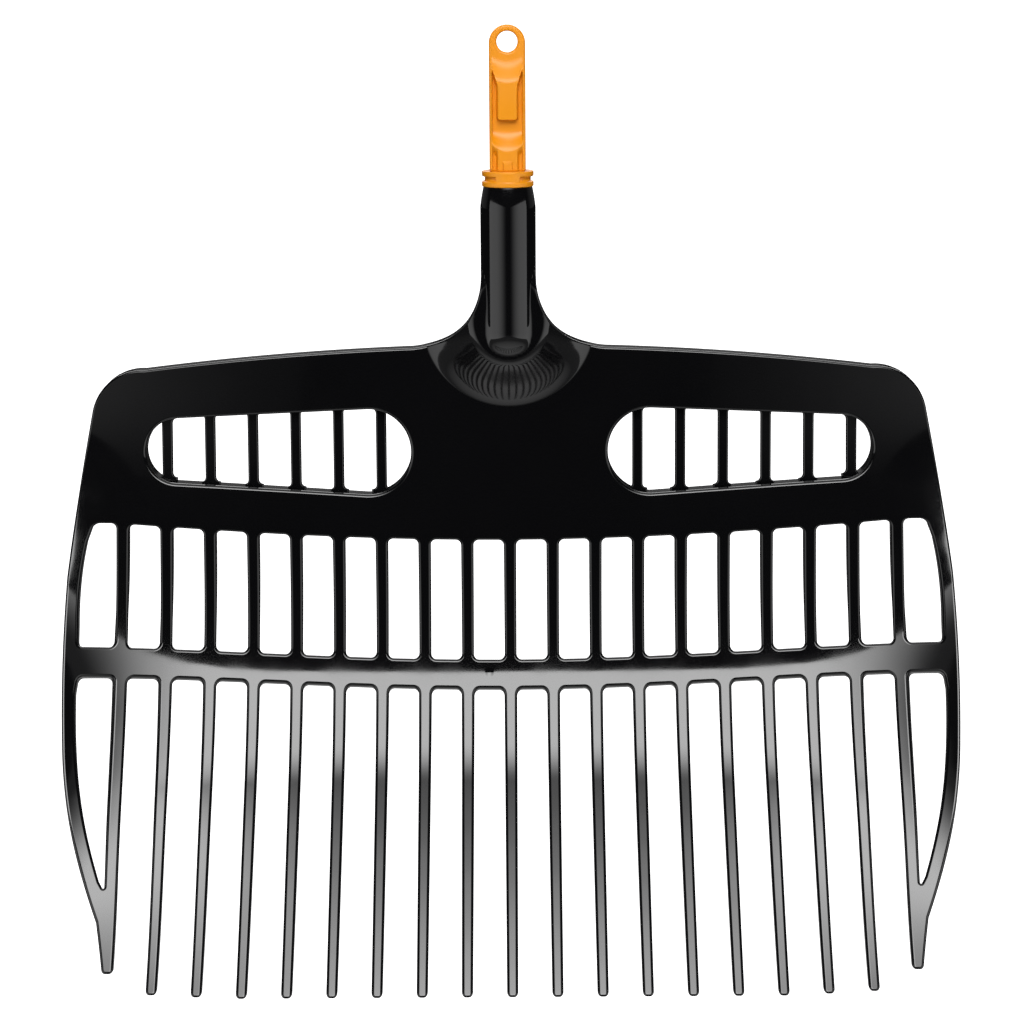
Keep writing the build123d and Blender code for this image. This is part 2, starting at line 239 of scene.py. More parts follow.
# ------------------------------------ the curved surface
def middle_line(z):
    """Depth of the front surface on the middle plane."""
    end_z = BEND_START_Z - BEND_RADIUS * (math.sin(TINE_LEAN) - math.sin(BLADE_LEAN))
    end_y = BEND_START_Y - BEND_RADIUS * (math.cos(BLADE_LEAN) - math.cos(TINE_LEAN))
    turn = np.clip(math.sin(BLADE_LEAN) + (BEND_START_Z - z) / BEND_RADIUS, -1.0, 1.0)
    bend = BEND_START_Y - BEND_RADIUS * (math.cos(BLADE_LEAN) - np.cos(np.arcsin(turn)))
    blade = BEND_START_Y + (z - BEND_START_Z) * math.tan(BLADE_LEAN)
    tines = end_y + (z - end_z) * math.tan(TINE_LEAN)
    return np.where(z > BEND_START_Z, blade, np.where(z > end_z, bend, tines))


def dish(z):
    """How far the ninth tine stands forward of the middle one."""
    fade = np.where(z > DISH_Z, DISH_FADE_UP, DISH_FADE_DOWN)
    part = np.minimum(np.abs(z - DISH_Z) / fade, 1.0)
    return DISH_DEPTH * np.cos(part * math.pi / 2) ** 2


def base_y(x, z):
    """Front surface without the hub: blade, bars, tines and the web beside the socket."""
    across = x / (OUTER_TINE * TINE_PITCH)
    web = WEB_CURL * np.maximum(z - WEB_Z, 0.0) ** 2
    return middle_line(z) - dish(z) * across ** 4 - web


def tube_y(x, z):
    """The socket's front ridge, continued downwards until it drops towards the blade."""
    limit = TUBE_RADIUS * math.sin(TUBE_SIDE)
    inside = -np.sqrt(TUBE_RADIUS ** 2 - np.minimum(np.abs(x), limit) ** 2)
    side = inside + math.tan(TUBE_SIDE) * np.maximum(np.abs(x) - limit, 0.0)
    down = np.maximum(RIDGE_END_Z - z, 0.0)
    knee = RIDGE_ROUND * math.sin(RIDGE_SLOPE)
    curve = RIDGE_ROUND - np.sqrt(RIDGE_ROUND ** 2 - np.minimum(down, knee) ** 2)
    return side + curve + math.tan(RIDGE_SLOPE) * np.maximum(down - knee, 0.0)


def cove(x, z):
    """Concave dome that carries the hub out into the blade, up to a circle on it."""
    inward = np.maximum(COVE_RADIUS - np.hypot(x, z - COVE_Z), 0.0)
    steepened = inward - COVE_KNEE * (1 - np.exp(-inward / COVE_KNEE))
    return COVE_RIM_SLOPE * inward + COVE_STEEPENING * steepened


def gate_mark(x, z):
    """Shallow round dimple left on the cross bar by the mould's gate."""
    away = np.hypot(x - GATE_X, z - GATE_Z) / GATE_RADIUS
    return GATE_DEPTH * np.maximum(1.0 - away ** 2, 0.0) ** 2


def front_y(x, z):
    """The whole front surface, with the socket's ridge and the dome blended in."""
    web = base_y(x, z) - cove(x, z)
    near = np.maximum(PLATEAU_BLEND - np.abs(web - PLATEAU_Y), 0.0) / PLATEAU_BLEND
    level = np.maximum(web, PLATEAU_Y) + near ** 2 * PLATEAU_BLEND / 4
    web = np.where(np.hypot(x, z - COVE_Z) < COVE_RADIUS, level, web)
    tube = tube_y(x, z)
    blend = 0.2 + HUB_BLEND * np.clip((HUB_BLEND_Z - z) / HUB_BLEND_LENGTH, 0.0, 1.0)
    mix = np.maximum(blend - np.abs(tube - web), 0.0) / blend
    return np.minimum(tube, web) - mix ** 2 * blend / 4 + gate_mark(x, z)


def tucked_y(x, z):
    """Front surface whose upper end slips just inside the round socket."""
    return front_y(x, z) + TUCK_DEPTH * np.clip((z - TUCK_Z) / TUCK_LENGTH, -1.0, 1.0) * (z > TUCK_Z)


def gradient(height, x, z, step=0.15):
    gx = (height(x + step, z) - height(x - step, z)) / (2 * step)
    gz = (height(x, z + step) - height(x, z - step)) / (2 * step)
    return gx, gz


def unit(vectors):
    return vectors / np.linalg.norm(vectors, axis=-1, keepdims=True)


def front_normal(height, x, z):
    gx, gz = gradient(height, x, z)
    return unit(np.stack([gx, -np.ones_like(gx), gz], -1))


def step_between(value, start, end):
    """0 before start, 1 after end, smooth between; start may be the larger one."""
    part = np.clip((value - start) / (end - start), 0.0, 1.0)
    return part * part * (3 - 2 * part)


# ------------------------------------ outlines in x and z
def three_point_arc(a, b, c, count=24):
    """Points on the arc from a through b to c."""
    (ax, ay), (bx, by), (cx, cy) = a, b, c
    d = 2 * (ax * (by - cy) + bx * (cy - ay) + cx * (ay - by))
    aa, bb, cc = ax * ax + ay * ay, bx * bx + by * by, cx * cx + cy * cy
    ux = (aa * (by - cy) + bb * (cy - ay) + cc * (ay - by)) / d
    uy = (aa * (cx - bx) + bb * (ax - cx) + cc * (bx - ax)) / d
    radius = math.hypot(ax - ux, ay - uy)
    start = math.atan2(ay - uy, ax - ux)
    middle = math.atan2(by - uy, bx - ux)
    end = math.atan2(cy - uy, cx - ux)
    for turn in (2 * math.pi, -2 * math.pi):
        if not min(start, end) <= middle <= max(start, end):
            if abs(end + turn - start) < 2 * math.pi:
                end += turn
    angles = np.linspace(start, end, count)
    return [(ux + radius * math.cos(t), uy + radius * math.sin(t)) for t in angles]


def circle_arc(centre, radius, start, end, step=1.2):
    count = max(4, int(abs(end - start) * radius / step))
    angles = np.linspace(start, end, count + 1)
    return [(centre[0] + radius * math.cos(t), centre[1] + radius * math.sin(t)) for t in angles]


def rounded(corners, step=0.7):
    """A closed outline from (x, z, radius) corners, each rounded by its radius."""
    outline = []
    total = len(corners)
    for i, (x, z, radius) in enumerate(corners):
        if radius <= 0:
            outline.append((x, z))
            continue
        before = unit(np.array(corners[i - 1][:2]) - (x, z))
        after = unit(np.array(corners[(i + 1) % total][:2]) - (x, z))
        half = math.acos(np.clip(before @ after, -1, 1)) / 2
        reach = radius / math.tan(half)
        centre = np.array((x, z)) + unit(before + after) * radius / math.sin(half)
        start = np.array((x, z)) + before * reach - centre
        end = np.array((x, z)) + after * reach - centre
        a0 = math.atan2(start[1], start[0])
        sweep = math.atan2(end[1], end[0]) - a0
        sweep = (sweep + math.pi) % (2 * math.pi) - math.pi
        count = max(4, int(abs(sweep) * radius / step))
        for k in range(count + 1):
            t = a0 + sweep * k / count
            outline.append((centre[0] + radius * math.cos(t), centre[1] + radius * math.sin(t)))
    return outline


def subdivided(outline, longest=3.0):
    """The outline with no side longer than `longest`."""
    points = np.array(outline, float)
    result = []
    for a, b in zip(points, np.roll(points, -1, axis=0)):
        length = np.linalg.norm(b - a)
        if length < 1e-6:
            continue
        pieces = max(1, math.ceil(length / longest))
        for k in range(pieces):
            result.append(a + (b - a) * k / pieces)
    return np.array(result)


def bowed(z, x):
    """A height on the shared bow of the blade's lower edge and the cross bar."""
    return z + x * x / (2 * BOW_RADIUS)


def bowed_corner(x, z, radius=WINDOW_ROUND):
    return x, bowed(z, x), radius


def tine_half_width(z):
    return np.interp(z, [TIP_Z, TINE_ROOT_Z], TINE_HALF_WIDTHS)


def bar_half_width(z):
    return np.interp(z, [CROSS_BAR_TOP_Z, LOWER_EDGE_Z], BAR_HALF_WIDTHS)


def mirrored(outline):
    return [(-x, z) for x, z in reversed(outline)]


def window(number):
    """Window between bar `number` and the next bar to the right."""
    left = number * TINE_PITCH
    right = (number + 1) * TINE_PITCH
    x0 = left + bar_half_width(LOWER_EDGE_Z)
    x1 = right - bar_half_width(LOWER_EDGE_Z)
    x2 = right - bar_half_width(CROSS_BAR_TOP_Z)
    x3 = left + bar_half_width(CROSS_BAR_TOP_Z)
    corners = [bowed_corner(x0, LOWER_EDGE_Z), bowed_corner(x1, LOWER_EDGE_Z)]
    return rounded(corners + [bowed_corner(x2, CROSS_BAR_TOP_Z), bowed_corner(x3, CROSS_BAR_TOP_Z)])


def outer_window():
    """Window between the ninth bar and the right rail."""
    upper = three_point_arc(*INNER_RAIL_UPPER)
    x0 = OUTER_TINE * TINE_PITCH + bar_half_width(LOWER_EDGE_Z)
    x3 = OUTER_TINE * TINE_PITCH + bar_half_width(CROSS_BAR_TOP_Z)
    corners = [bowed_corner(x0, LOWER_EDGE_Z), OUTER_WINDOW_CORNER]
    corners += [(x, z, 0.0) for x, z in upper if z < OUTER_WINDOW_SIDE_Z]
    corners += [bowed_corner(OUTER_WINDOW_X, CROSS_BAR_TOP_Z), bowed_corner(x3, CROSS_BAR_TOP_Z)]
    return rounded(corners)


def outer_gap():
    """Closed gap between the ninth tine and the right rail, below the cross bar."""
    lower = three_point_arc(*INNER_RAIL_LOWER, 40)
    top_z = CROSS_BAR_TOP_Z - CROSS_BAR_HEIGHT
    middle = OUTER_TINE * TINE_PITCH
    x0 = middle + tine_half_width(top_z)
    side_top, side_end = OUTER_GAP_SIDE_Z
    end_x = middle + tine_half_width(OUTER_GAP_END_Z) + OUTER_GAP_END_SHIFT
    corners = [bowed_corner(x0, top_z, OUTER_GAP_ROUND)]
    corners += [bowed_corner(OUTER_GAP_X, top_z, OUTER_GAP_ROUND)]
    corners += [(x, z, 0.0) for x, z in lower if side_end < z < side_top]
    corners += [(end_x, OUTER_GAP_END_Z, OUTER_GAP_END_ROUND)]
    return rounded(corners)


def tine_bottom(number):
    """The right side's free tine ends and gap tops, from tine `number` to the next one inwards."""
    top_z = CROSS_BAR_TOP_Z - CROSS_BAR_HEIGHT
    tip_z = TIP_Z + OUTER_TIP_RISE.get(number, 0.0)
    x = number * TINE_PITCH
    tip = tine_half_width(tip_z)
    corners = [(x + tip, tip_z, TIP_ROUND), (x - tip, tip_z, TIP_ROUND)]
    root = tine_half_width(TINE_ROOT_Z)
    return corners + [bowed_corner(x - root, top_z), bowed_corner(x - TINE_PITCH + root, top_z)]


def outer_loop():
    """The whole outer edge, clockwise from the right side of the socket."""
    flare_x = TUBE_RADIUS + FLARE_RADIUS
    flare_z = TOP_EDGE_Z - flare_x ** 2 / (2 * TOP_EDGE_RADIUS)
    centre = (flare_x, flare_z + FLARE_RADIUS)
    right = circle_arc(centre, FLARE_RADIUS, math.pi, 1.5 * math.pi)
    for x in np.linspace(flare_x, CORNER_START_X, 40)[1:]:
        right.append((x, TOP_EDGE_Z - x * x / (2 * TOP_EDGE_RADIUS)))
    right += three_point_arc(right[-1], CORNER_MIDDLE, SHOULDER_START, 20)[1:]
    right += three_point_arc(right[-1], SHOULDER_MIDDLE, BELLY_START, 30)[1:]
    right += three_point_arc(right[-1], BELLY_MIDDLE, BELLY_END, 30)[1:]
    right += three_point_arc(right[-1], RAIL_MIDDLE, RAIL_END, 36)[1:]
    corners = [FLARE_START] + [(x, z, 0.0) for x, z in right]
    for number in range(OUTER_TINE, 0, -1):
        corners += tine_bottom(number)
    tip = tine_half_width(TIP_Z)
    corners.append((tip, TIP_Z, TIP_ROUND))
    left = [(-x, z, radius) for x, z, radius in reversed(corners)]
    return rounded(corners + left)


def slot_loop():
    """The hand slot on the right: two end arcs joined by their common tangents."""
    x1, z1, r1 = SLOT_INNER
    x2, z2, r2 = SLOT_OUTER
    turn = math.asin((r1 - r2) / math.dist((x1, z1), (x2, z2)))
    heading = math.atan2(z2 - z1, x2 - x1)
    side = math.pi / 2 - turn
    outer_end = circle_arc((x2, z2), r2, heading + side, heading - side)
    inner_end = circle_arc((x1, z1), r1, heading - side, heading + side - 2 * math.pi)
    return outer_end + inner_end


# ------------------------------------ the moulding's mesh
def signed_area(points):
    x, z = points[:, 0], points[:, 1]
    return 0.5 * np.sum(x * np.roll(z, -1) - np.roll(x, -1) * z)


def into_material(points, is_hole):
    """Unit vectors in the plane that point from each outline point into the plastic."""
    ahead = unit(np.roll(points, -1, axis=0) - points)
    behind = unit(points - np.roll(points, 1, axis=0))
    along = unit(ahead + behind)
    left = np.stack([-along[:, 1], along[:, 0]], -1)
    counterclockwise = signed_area(points) > 0
    return left if counterclockwise != is_hole else -left


class Shell:
    """Collects points, normals and faces of one closed mesh."""

    def __init__(self):
        self.points = []
        self.normals = []
        self.faces = []
        self.count = 0

    def add(self, points, normals):
        first = self.count
        self.points.append(points)
        self.normals.append(normals)
        self.count += len(points)
        return first

    def bridge(self, first_a, first_b, size, flip=False):
        for i in range(size):
            j = (i + 1) % size
            face = (first_a + i, first_a + j, first_b + j, first_b + i)
            self.faces.append(face[::-1] if flip else face)

    def tube(self, starts, size, flip=False):
        """Walls from each ring to the next one."""
        for a, b in zip(starts, starts[1:]):
            self.bridge(a, b, size, flip)

    def cap(self, first, size, flip=False):
        """One face over a whole ring."""
        face = tuple(first + i for i in range(size))
        self.faces.append(face[::-1] if flip else face)

    def object(self, name, material):
        mesh = bpy.data.meshes.new(name)
        points = np.concatenate(self.points) * MM
        normals = unit(np.concatenate(self.normals))
        mesh.from_pydata(points.tolist(), [], self.faces)
        mesh.polygons.foreach_set("use_smooth", [True] * len(mesh.polygons))
        mesh.update()
        mesh.normals_split_custom_set_from_vertices(normals.tolist())
        piece = bpy.data.objects.new(name, mesh)
        bpy.context.scene.collection.objects.link(piece)
        piece.data.materials.append(material)
        return piece


def lifted(height, x, z, depth):
    """Points at a depth behind a front surface."""
    return np.stack([x, height(x, z), z], -1) + back_direction(x, z) * np.asarray(depth)[..., None]


def back_direction(x, z):
    """Straight back behind the blade, the rails' bellies and the tips, else square to the surface."""
    direction = -front_normal(base_y, x, z)
    share = step_between(z, LOWER_EDGE_Z, CROSS_BAR_TOP_Z)
    direction[:, 0] *= share * step_between(np.abs(x), STRAIGHT_X, LEANING_X)
    direction[:, 2] *= share * step_between(z, TIP_Z, LEANING_Z)
    return unit(direction)


def rim_share(x, z):
    """1 where the edge has a deep rim behind the blade, 0 along rails, bars and tines."""
    below = np.clip((z - RIM_END_Z) / RIM_FADE, 0.0, 1.0)
    beside_socket = np.clip((np.abs(x) - SOCKET_RIM_X) / SOCKET_RIM_FADE, 0.0, 1.0)
    share = below * np.where(z > SOCKET_RIM_Z, beside_socket, 1.0)
    return share * share * (3 - 2 * share)


def wall_depth(z):
    """Depth of the outer wall, bars, rails and tines behind the front surface."""
    heights = [TIP_Z, TINE_DEPTH_Z, BAR_DEPTH_Z, LOWER_EDGE_Z, HUB_DEPTH_Z]
    return np.interp(z, heights, [TIP_DEPTH, TINE_DEPTH, BAR_DEPTH, BAR_DEPTH, HUB_DEPTH])


def back_depth(x, z):
    """Depth of the back surface: thin behind the blade, full on bars, rails and tines."""
    lower = bowed(LOWER_EDGE_Z, x)
    blade = np.clip((z - lower - SKIN_START) / SKIN_FADE, 0.0, 1.0)
    side = np.clip((SKIN_SIDE_X - SKIN_SIDE_TAPER * z - np.abs(x)) / SKIN_SIDE_FADE, 0.0, 1.0)
    blade = blade * np.where(z < SKIN_SIDE_Z, side, 1.0)
    blade = blade * blade * (3 - 2 * blade)
    return wall_depth(z) * (1 - blade) + SKIN * blade


def inside_loop(points, loop):
    """Even-odd test of many points against one outline."""
    x, z = points[:, 0][:, None], points[:, 1][:, None]
    ax, az = loop[:, 0][None], loop[:, 1][None]
    bx, bz = np.roll(loop[:, 0], -1)[None], np.roll(loop[:, 1], -1)[None]
    crosses = (az > z) != (bz > z)
    with np.errstate(divide="ignore", invalid="ignore"):
        at = ax + (z - az) * (bx - ax) / (bz - az)
    return (np.sum(crosses & (x < at), axis=1) % 2) == 1


def inside_all(points, loops):
    """Points inside the first loop and outside all others."""
    result = np.zeros(len(points), bool)
    for start in range(0, len(points), 4000):
        part = points[start:start + 4000]
        good = inside_loop(part, loops[0])
        for hole in loops[1:]:
            low, high = hole.min(0), hole.max(0)
            near = np.all((part > low) & (part < high), axis=1) & good
            if near.any():
                index = np.nonzero(near)[0]
                good[index[inside_loop(part[index], hole)]] = False
        result[start:start + 4000] = good
    return result


def far_from_loops(points, loops, limit):
    """True where a point is further than limit from every outline vertex."""
    vertices = np.concatenate(loops)
    tree = KDTree(len(vertices))
    for i, (x, z) in enumerate(vertices):
        tree.insert((x, z, 0.0), i)
    tree.balance()
    return np.array([tree.find((x, z, 0.0))[2] > limit for x, z in points])


def grid(columns, rows):
    """All points of a grid of x and z values."""
    x, z = np.meshgrid(columns, rows)
    return np.stack([x.ravel(), z.ravel()], -1)


def seed_points(loops):
    """Inner points: grids over blade, hub and cross bar, rings round the dome and the gate mark."""
    coarse = grid(np.arange(-276, 277, 5.0), np.arange(-240, -112, 4.0))
    outside_hub = (np.abs(coarse[:, 0]) > 66) | (coarse[:, 1] < -156)
    fine = grid(np.arange(-66, 66.1, 1.0), np.arange(-156, -60, 1.3))
    bar = grid(np.arange(-270, 271, 5.45), np.arange(-330, -296, 3.5))
    turn = np.linspace(0, 2 * math.pi, 240, endpoint=False)
    circle = np.stack([np.cos(turn), np.sin(turn)], -1)
    rings = [(0.0, COVE_Z) + (COVE_RADIUS + gap) * circle for gap in (-0.7, 0.0, 0.7)]
    for share in (0.2, 0.4, 0.6, 0.8, 1.0):
        rings.append((GATE_X, GATE_Z) + GATE_RADIUS * share * circle[::15])
    near_circle = np.abs(np.hypot(fine[:, 0], fine[:, 1] - COVE_Z) - COVE_RADIUS) < 1.6
    seeds = np.concatenate([coarse[outside_hub], fine[~near_circle], bar] + rings)
    seeds = seeds[inside_all(seeds, loops)]
    return seeds[far_from_loops(seeds, loops, 1.3)]


def triangulated(loops, seeds):
    """Constrained triangles over the area between the outlines, outline points counted first."""
    points = np.concatenate(loops + [seeds])
    edges = []
    start = 0
    for loop in loops:
        size = len(loop)
        edges += [(start + i, start + (i + 1) % size) for i in range(size)]
        start += size
    found = delaunay_2d_cdt([Vector(p) for p in points], edges, [], 0, 1e-5)
    vertices = np.array([tuple(v) for v in found[0]])
    triangles = np.array(found[2])
    if len(vertices) != len(points):
        raise RuntimeError("the outlines cross each other")
    order = np.array([source[0] for source in found[3]])
    triangles = order[triangles]
    centres = points[triangles].mean(1)
    triangles = triangles[inside_all(centres, loops)]
    a, b, c = (points[triangles[:, i]] for i in range(3))
    turn = (b[:, 0] - a[:, 0]) * (c[:, 1] - a[:, 1]) - (b[:, 1] - a[:, 1]) * (c[:, 0] - a[:, 0])
    triangles[turn < 0] = triangles[turn < 0][:, ::-1]
    return triangles


def edge_round(z, is_slot):
    """Radius of the front edge: small on the blade, large on bars and tines."""
    if is_slot:
        return np.full(len(z), SLOT_EDGE_ROUND)
    return np.interp(z, [TIP_Z, CROSS_BAR_TOP_Z, LOWER_EDGE_Z, TOP_EDGE_Z], EDGE_ROUNDS)


def tilted(outward, facing, angle):
    """Normals turned from the surface's own towards the outside by an angle."""
    across = unit(outward - facing * np.sum(outward * facing, -1, keepdims=True))
    return facing * np.cos(angle) + across * np.sin(angle)


def edge_rings(shell, points, inward, depth, top):
    """Rings over a rounded front edge, down the side and round the back edge."""
    size = len(points)
    outward = np.stack([-inward[:, 0], np.zeros(size), -inward[:, 1]], -1)
    arc = np.linspace(0, math.pi / 2, EDGE_STEPS)
    rings = []
    for angle in arc:
        rings.append((top * (1 - math.sin(angle)), top * (1 - math.cos(angle)), angle, True))
    rings.append((np.zeros(size), depth - BACK_ROUND, math.pi / 2, False))
    for angle in arc[::-1][1:]:
        inset = np.full(size, BACK_ROUND * (1 - math.sin(angle)))
        rings.append((inset, depth - BACK_ROUND * (1 - math.cos(angle)), angle, False))
    starts = []
    for offset, sink, angle, is_front in rings:
        px, pz = points.T + inward.T * offset
        facing = front_normal(front_y, px, pz) if is_front else -front_normal(base_y, px, pz)
        starts.append(shell.add(lifted(tucked_y, px, pz, sink), tilted(outward, facing, angle)))
    return starts


def rim_rings(shell, points, inward, depth, share):
    """Rings across the deep rim's back, down its inner wall and out onto the blade's back.

    Where there is no rim the rings lie close together on the flat back.
    """
    outward = np.stack([-inward[:, 0], np.zeros(len(points)), -inward[:, 1]], -1)
    flat = np.linspace(BACK_ROUND + 0.15, BACK_ROUND + FLAT_FOOT, 4)
    offsets = (RIM_WALL - BACK_ROUND, RIM_WALL, RIM_WALL + 0.3, RIM_WALL + RIM_FOOT)
    starts = []
    for row, (offset, flat_offset) in enumerate(zip(offsets, flat)):
        local = offset * share + flat_offset * (1 - share)
        px, pz = points.T + inward.T * local
        floor = back_depth(px, pz)
        at_rim = (depth, depth - BACK_ROUND, floor + 1.0 * share, floor)[row]
        level = at_rim * share + (floor if row == 3 else depth) * (1 - share)
        turn = (math.pi / 2 if row in (1, 2) else 0.0) * share[:, None]
        normal = tilted(outward, -front_normal(base_y, px, pz), -turn)
        starts.append(shell.add(lifted(tucked_y, px, pz, level), normal))
    foot = (RIM_WALL + RIM_FOOT) * share + (BACK_ROUND + FLAT_FOOT) * (1 - share)
    return starts, points + inward * foot[:, None]


def moulding_mesh():
    """The black head as one closed skin: outer edge, windows, gaps and hand slots."""
    slots = [slot_loop(), mirrored(slot_loop())]
    holes = [window(number) for number in range(-OUTER_TINE, OUTER_TINE)]
    holes += [outer_window(), mirrored(outer_window()), outer_gap(), mirrored(outer_gap())]
    outlines = [(outer_loop(), False, False)]
    outlines += [(hole, True, False) for hole in holes]
    outlines += [(slot, True, True) for slot in slots]
    shell = Shell()
    front_loops = []
    back_loops = []
    front_starts = []
    back_starts = []
    for outline, is_hole, is_slot in outlines:
        points = subdivided(outline)
        if signed_area(points) < 0:
            points = points[::-1]
        inward = into_material(points, is_hole)
        x, z = points[:, 0], points[:, 1]
        top = edge_round(z, is_slot)
        if is_slot:
            share = np.ones(len(points))
        elif is_hole:
            share = np.zeros(len(points))
        else:
            share = rim_share(x, z)
        depth = wall_depth(z) * (1 - share) + RIM_DEPTH * share
        starts = edge_rings(shell, points, inward, depth, top)
        inner = points + inward * BACK_ROUND
        if share.max() > 0:
            more, inner = rim_rings(shell, points, inward, depth, share)
            starts += more
        shell.tube(starts, len(points), flip=not is_hole)
        front_loops.append(points + inward * top[:, None])
        back_loops.append(inner)
        front_starts.append(starts[0])
        back_starts.append(starts[-1])
    seeds = seed_points(front_loops)
    x, z = seeds.T
    first = shell.add(lifted(tucked_y, x, z, np.zeros(len(x))), front_normal(front_y, x, z))
    stitch(shell, front_loops, front_starts, seeds, first, False)
    seeds = seed_points(back_loops)
    x, z = seeds.T
    first = shell.add(lifted(base_y, x, z, back_depth(x, z)), -front_normal(base_y, x, z))
    stitch(shell, back_loops, back_starts, seeds, first, True)
    return shell


def stitch(shell, loops, starts, seeds, first, flip):
    """Triangles over a whole face; outline points exist from `starts` on, seeds from `first` on."""
    index = [start + i for loop, start in zip(loops, starts) for i in range(len(loop))]
    index = np.array(index + list(range(first, first + len(seeds))))
    for a, b, c in index[triangulated(loops, seeds)].tolist():
        shell.faces.append((c, b, a) if flip else (a, b, c))


# ------------------------------------ materials
def noise(nodes, links, place, scale, detail):
    """A noise value in the object's own coordinates."""
    texture = nodes.new("ShaderNodeTexNoise")
    texture.inputs["Scale"].default_value = scale
    texture.inputs["Detail"].default_value = detail
    links.new(place.outputs["Object"], texture.inputs["Vector"])
    return texture.outputs["Fac"]


def ranged(nodes, links, source, start, end, low, high, kind="LINEAR"):
    """The source value mapped from start-end to low-high."""
    ramp = nodes.new("ShaderNodeMapRange")
    ramp.interpolation_type = kind
    ramp.inputs["From Min"].default_value = start
    ramp.inputs["From Max"].default_value = end
    ramp.inputs["To Min"].default_value = low
    ramp.inputs["To Max"].default_value = high
    links.new(source, ramp.inputs["Value"])
    return ramp.outputs["Result"]


def moulded(name, dark, light, smooth, rough, sink, grain):
    """Moulded plastic: faint colour drift, handling wear in the gloss, sink waves and fine grain."""
    material = bpy.data.materials.new(name)
    material.use_nodes = True
    nodes = material.node_tree.nodes
    links = material.node_tree.links
    shader = nodes["Principled BSDF"]
    shader.inputs["IOR"].default_value = 1.5
    place = nodes.new("ShaderNodeTexCoord")
    drift = noise(nodes, links, place, 9.0, 3.0)
    colour = nodes.new("ShaderNodeMix")
    colour.data_type = "RGBA"
    colour.inputs["A"].default_value = dark
    colour.inputs["B"].default_value = light
    links.new(drift, colour.inputs["Factor"])
    links.new(colour.outputs["Result"], shader.inputs["Base Color"])
    wear = noise(nodes, links, place, 38.0, 6.0)
    links.new(ranged(nodes, links, wear, 0.35, 0.8, smooth, rough), shader.inputs["Roughness"])
    waves = nodes.new("ShaderNodeBump")
    fine = nodes.new("ShaderNodeBump")
    for bump, distance, scale, detail in ((waves, sink, 30.0, 1.0), (fine, grain, 900.0, 2.0)):
        bump.inputs["Distance"].default_value = distance
        bump.inputs["Strength"].default_value = 1.0
        links.new(noise(nodes, links, place, scale, detail), bump.inputs["Height"])
    links.new(waves.outputs["Normal"], fine.inputs["Normal"])
    links.new(fine.outputs["Normal"], shader.inputs["Normal"])
    return material


def plated_steel(name):
    """Zinc-plated steel with uneven gloss and darker stains."""
    material = moulded(name, DARK_STEEL, LIGHT_STEEL, 0.18, 0.42, 0.00002, 0.00001)
    material.node_tree.nodes["Principled BSDF"].inputs["Metallic"].default_value = 1.0
    return material


DARK_STEEL = (0.42, 0.42, 0.44, 1.0)
LIGHT_STEEL = (0.68, 0.68, 0.70, 1.0)
DARK_BLACK = (0.0018, 0.0018, 0.0021, 1.0)
LIGHT_BLACK = (0.0028, 0.0028, 0.0032, 1.0)
DARK_ORANGE = (0.67, 0.232, 0.001, 1.0)
LIGHT_ORANGE = (0.73, 0.26, 0.002, 1.0)
BLACK = moulded("black_plastic", DARK_BLACK, LIGHT_BLACK, 0.05, 0.11, 0.00006, 0.000001)
ORANGE = moulded("orange_plastic", DARK_ORANGE, LIGHT_ORANGE, 0.34, 0.5, 0.00003, 0.000002)
ORANGE.node_tree.nodes["Principled BSDF"].inputs["Specular IOR Level"].default_value = 0.4
STEEL = plated_steel("screw_steel")

OTHER_NODES = ("socket_tube", "handle_adapter", "retaining_screw")
BLACK_NODES = [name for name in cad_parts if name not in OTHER_NODES]


# ------------------------------------ ribs behind the blade
def slot_span(x):
    """Lowest and highest z of the right slot at a given x."""
    outline = np.array(slot_loop())
    crossings = []
    for a, b in zip(outline, np.roll(outline, -1, axis=0)):
        if (a[0] > x) != (b[0] > x):
            crossings.append(a[1] + (b[1] - a[1]) * (x - a[0]) / (b[0] - a[0]))
    return min(crossings), max(crossings)


def rounded_section(width, depth, corner, steps=5):
    """Offsets and normals around a rounded rectangle: x across, y from front to back."""
    points = []
    normals = []
    reach_x = width / 2 - corner
    reach_y = depth / 2 - corner
    for quarter, (sx, sy) in enumerate(((1, 1), (-1, 1), (-1, -1), (1, -1))):
        for k in range(steps + 1):
            angle = math.pi / 2 * (quarter + k / steps)
            turn = (math.cos(angle), math.sin(angle))
            normals.append(turn)
            points.append((sx * reach_x + corner * turn[0], sy * reach_y + corner * turn[1]))
    return np.array(points), np.array(normals)


